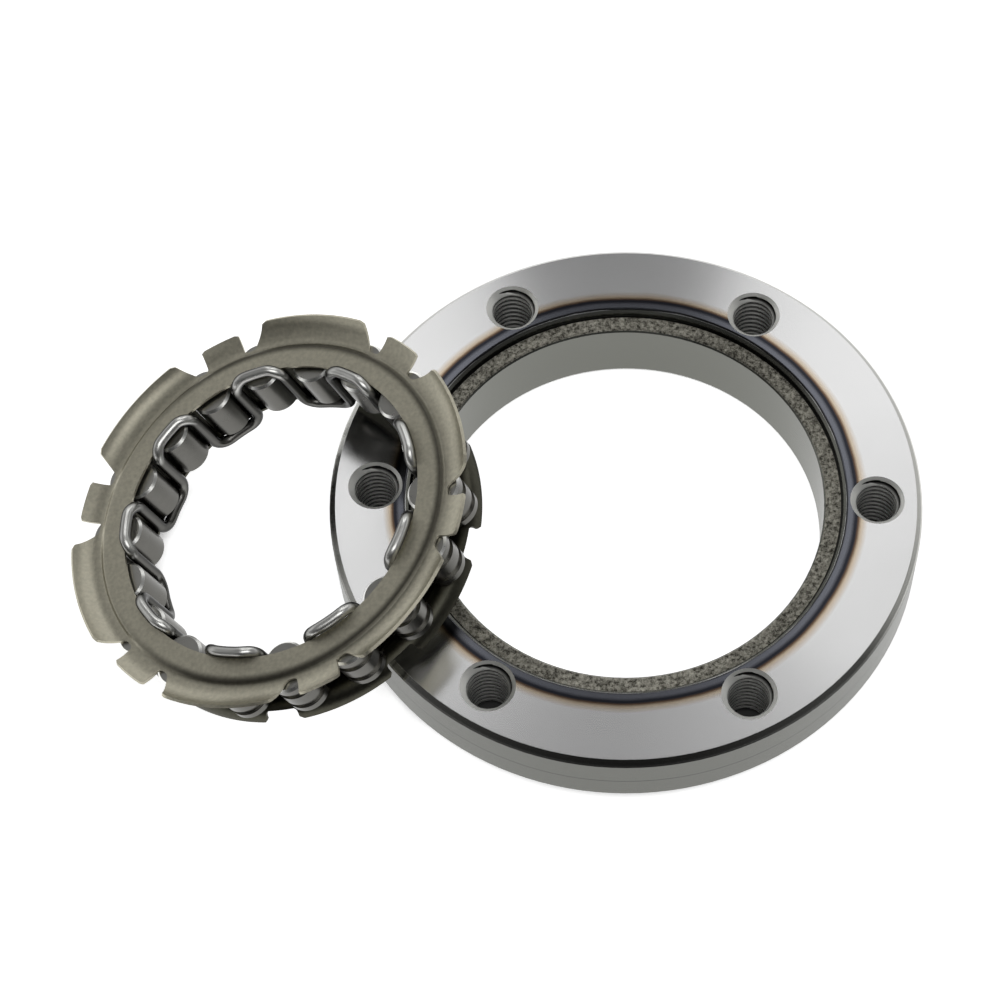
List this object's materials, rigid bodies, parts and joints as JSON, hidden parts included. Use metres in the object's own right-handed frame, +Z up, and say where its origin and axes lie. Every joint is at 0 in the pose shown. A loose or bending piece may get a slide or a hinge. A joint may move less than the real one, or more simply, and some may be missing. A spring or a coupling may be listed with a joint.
{
  "type": "one_way_clutch",
  "caption": "Sprag-type starter clutch: bored outer race with tapped holes, and its sprag cage with a meander spring, leaning on the race",
  "frame": {"origin": "on the outer race's axis, at the underside of its spigot", "axes": "+Z up along the race's axis, out of its recessed face; +X to the right in the picture, away from the leaning cage; +Y away from the camera"},
  "size_m": [0.1401, 0.098, 0.0348],
  "materials": {
    "ground_race_steel": "turned and ground, bright",
    "tumbled_sheet_steel": "pressed and tumbled, satin",
    "polished_spring_wire": "drawn, polished",
    "sprag_steel": "hardened, barrel-finished, dark"
  },
  "bodies": {
    "race": {"outer_race": "ground_race_steel"},
    "cage": {"cage_front": "tumbled_sheet_steel", "cage_rear": "tumbled_sheet_steel", "spring": "polished_spring_wire"},
    "sprag_01": {"sprag_01": "sprag_steel"},
    "sprag_02": {"sprag_02": "sprag_steel"},
    "sprag_03": {"sprag_03": "sprag_steel"},
    "sprag_04": {"sprag_04": "sprag_steel"},
    "sprag_05": {"sprag_05": "sprag_steel"},
    "sprag_06": {"sprag_06": "sprag_steel"},
    "sprag_07": {"sprag_07": "sprag_steel"},
    "sprag_08": {"sprag_08": "sprag_steel"},
    "sprag_09": {"sprag_09": "sprag_steel"},
    "sprag_10": {"sprag_10": "sprag_steel"},
    "sprag_11": {"sprag_11": "sprag_steel"},
    "sprag_12": {"sprag_12": "sprag_steel"},
    "sprag_13": {"sprag_13": "sprag_steel"},
    "sprag_14": {"sprag_14": "sprag_steel"},
    "sprag_15": {"sprag_15": "sprag_steel"},
    "sprag_16": {"sprag_16": "sprag_steel"},
    "sprag_17": {"sprag_17": "sprag_steel"},
    "sprag_18": {"sprag_18": "sprag_steel"}
  },
  "joints": [
    {"name": "cage_lift", "type": "slide", "parent": "race", "child": "cage", "axis": [-0.3257, -0.0401, 0.9446], "range_m": [0, 0.06]},
    {"name": "rock_01", "type": "hinge", "parent": "cage", "child": "sprag_01", "pos_m": [-0.03074, 0.00149, 0.02595], "axis": [-0.3257, -0.0401, 0.9446], "range_deg": [-3, 6]},
    {"name": "rock_02", "type": "hinge", "parent": "cage", "child": "sprag_02", "pos_m": [-0.03518, 0.0101, 0.02478], "axis": [-0.3257, -0.0401, 0.9446], "range_deg": [-3, 6]},
    {"name": "rock_03", "type": "hinge", "parent": "cage", "child": "sprag_03", "pos_m": [-0.04212, 0.01662, 0.02267], "axis": [-0.3257, -0.0401, 0.9446], "range_deg": [-3, 6]},
    {"name": "rock_04", "type": "hinge", "parent": "cage", "child": "sprag_04", "pos_m": [-0.05073, 0.02027, 0.01985], "axis": [-0.3257, -0.0401, 0.9446], "range_deg": [-3, 6]},
    {"name": "rock_05", "type": "hinge", "parent": "cage", "child": "sprag_05", "pos_m": [-0.05995, 0.02061, 0.01669], "axis": [-0.3257, -0.0401, 0.9446], "range_deg": [-3, 6]},
    {"name": "rock_06", "type": "hinge", "parent": "cage", "child": "sprag_06", "pos_m": [-0.06869, 0.0176, 0.01355], "axis": [-0.3257, -0.0401, 0.9446], "range_deg": [-3, 6]},
    {"name": "rock_07", "type": "hinge", "parent": "cage", "child": "sprag_07", "pos_m": [-0.07588, 0.0116, 0.01081], "axis": [-0.3257, -0.0401, 0.9446], "range_deg": [-3, 6]},
    {"name": "rock_08", "type": "hinge", "parent": "cage", "child": "sprag_08", "pos_m": [-0.08066, 0.00333, 0.00881], "axis": [-0.3257, -0.0401, 0.9446], "range_deg": [-3, 6]},
    {"name": "rock_09", "type": "hinge", "parent": "cage", "child": "sprag_09", "pos_m": [-0.08245, -0.00621, 0.00779], "axis": [-0.3257, -0.0401, 0.9446], "range_deg": [-3, 6]},
    {"name": "rock_10", "type": "hinge", "parent": "cage", "child": "sprag_10", "pos_m": [-0.08104, -0.01587, 0.00787], "axis": [-0.3257, -0.0401, 0.9446], "range_deg": [-3, 6]},
    {"name": "rock_11", "type": "hinge", "parent": "cage", "child": "sprag_11", "pos_m": [-0.0766, -0.02448, 0.00903], "axis": [-0.3257, -0.0401, 0.9446], "range_deg": [-3, 6]},
    {"name": "rock_12", "type": "hinge", "parent": "cage", "child": "sprag_12", "pos_m": [-0.06966, -0.031, 0.01115], "axis": [-0.3257, -0.0401, 0.9446], "range_deg": [-3, 6]},
    {"name": "rock_13", "type": "hinge", "parent": "cage", "child": "sprag_13", "pos_m": [-0.06105, -0.03465, 0.01396], "axis": [-0.3257, -0.0401, 0.9446], "range_deg": [-3, 6]},
    {"name": "rock_14", "type": "hinge", "parent": "cage", "child": "sprag_14", "pos_m": [-0.05183, -0.03499, 0.01713], "axis": [-0.3257, -0.0401, 0.9446], "range_deg": [-3, 6]},
    {"name": "rock_15", "type": "hinge", "parent": "cage", "child": "sprag_15", "pos_m": [-0.04309, -0.03198, 0.02027], "axis": [-0.3257, -0.0401, 0.9446], "range_deg": [-3, 6]},
    {"name": "rock_16", "type": "hinge", "parent": "cage", "child": "sprag_16", "pos_m": [-0.0359, -0.02598, 0.023], "axis": [-0.3257, -0.0401, 0.9446], "range_deg": [-3, 6]},
    {"name": "rock_17", "type": "hinge", "parent": "cage", "child": "sprag_17", "pos_m": [-0.03112, -0.01771, 0.025], "axis": [-0.3257, -0.0401, 0.9446], "range_deg": [-3, 6]},
    {"name": "rock_18", "type": "hinge", "parent": "cage", "child": "sprag_18", "pos_m": [-0.02933, -0.00817, 0.02602], "axis": [-0.3257, -0.0401, 0.9446], "range_deg": [-3, 6]}
  ],
  "couplings": [
    {"joint": "rock_02", "follows": "rock_01", "ratio": 1},
    {"joint": "rock_03", "follows": "rock_01", "ratio": 1},
    {"joint": "rock_04", "follows": "rock_01", "ratio": 1},
    {"joint": "rock_05", "follows": "rock_01", "ratio": 1},
    {"joint": "rock_06", "follows": "rock_01", "ratio": 1},
    {"joint": "rock_07", "follows": "rock_01", "ratio": 1},
    {"joint": "rock_08", "follows": "rock_01", "ratio": 1},
    {"joint": "rock_09", "follows": "rock_01", "ratio": 1},
    {"joint": "rock_10", "follows": "rock_01", "ratio": 1},
    {"joint": "rock_11", "follows": "rock_01", "ratio": 1},
    {"joint": "rock_12", "follows": "rock_01", "ratio": 1},
    {"joint": "rock_13", "follows": "rock_01", "ratio": 1},
    {"joint": "rock_14", "follows": "rock_01", "ratio": 1},
    {"joint": "rock_15", "follows": "rock_01", "ratio": 1},
    {"joint": "rock_16", "follows": "rock_01", "ratio": 1},
    {"joint": "rock_17", "follows": "rock_01", "ratio": 1},
    {"joint": "rock_18", "follows": "rock_01", "ratio": 1}
  ]
}
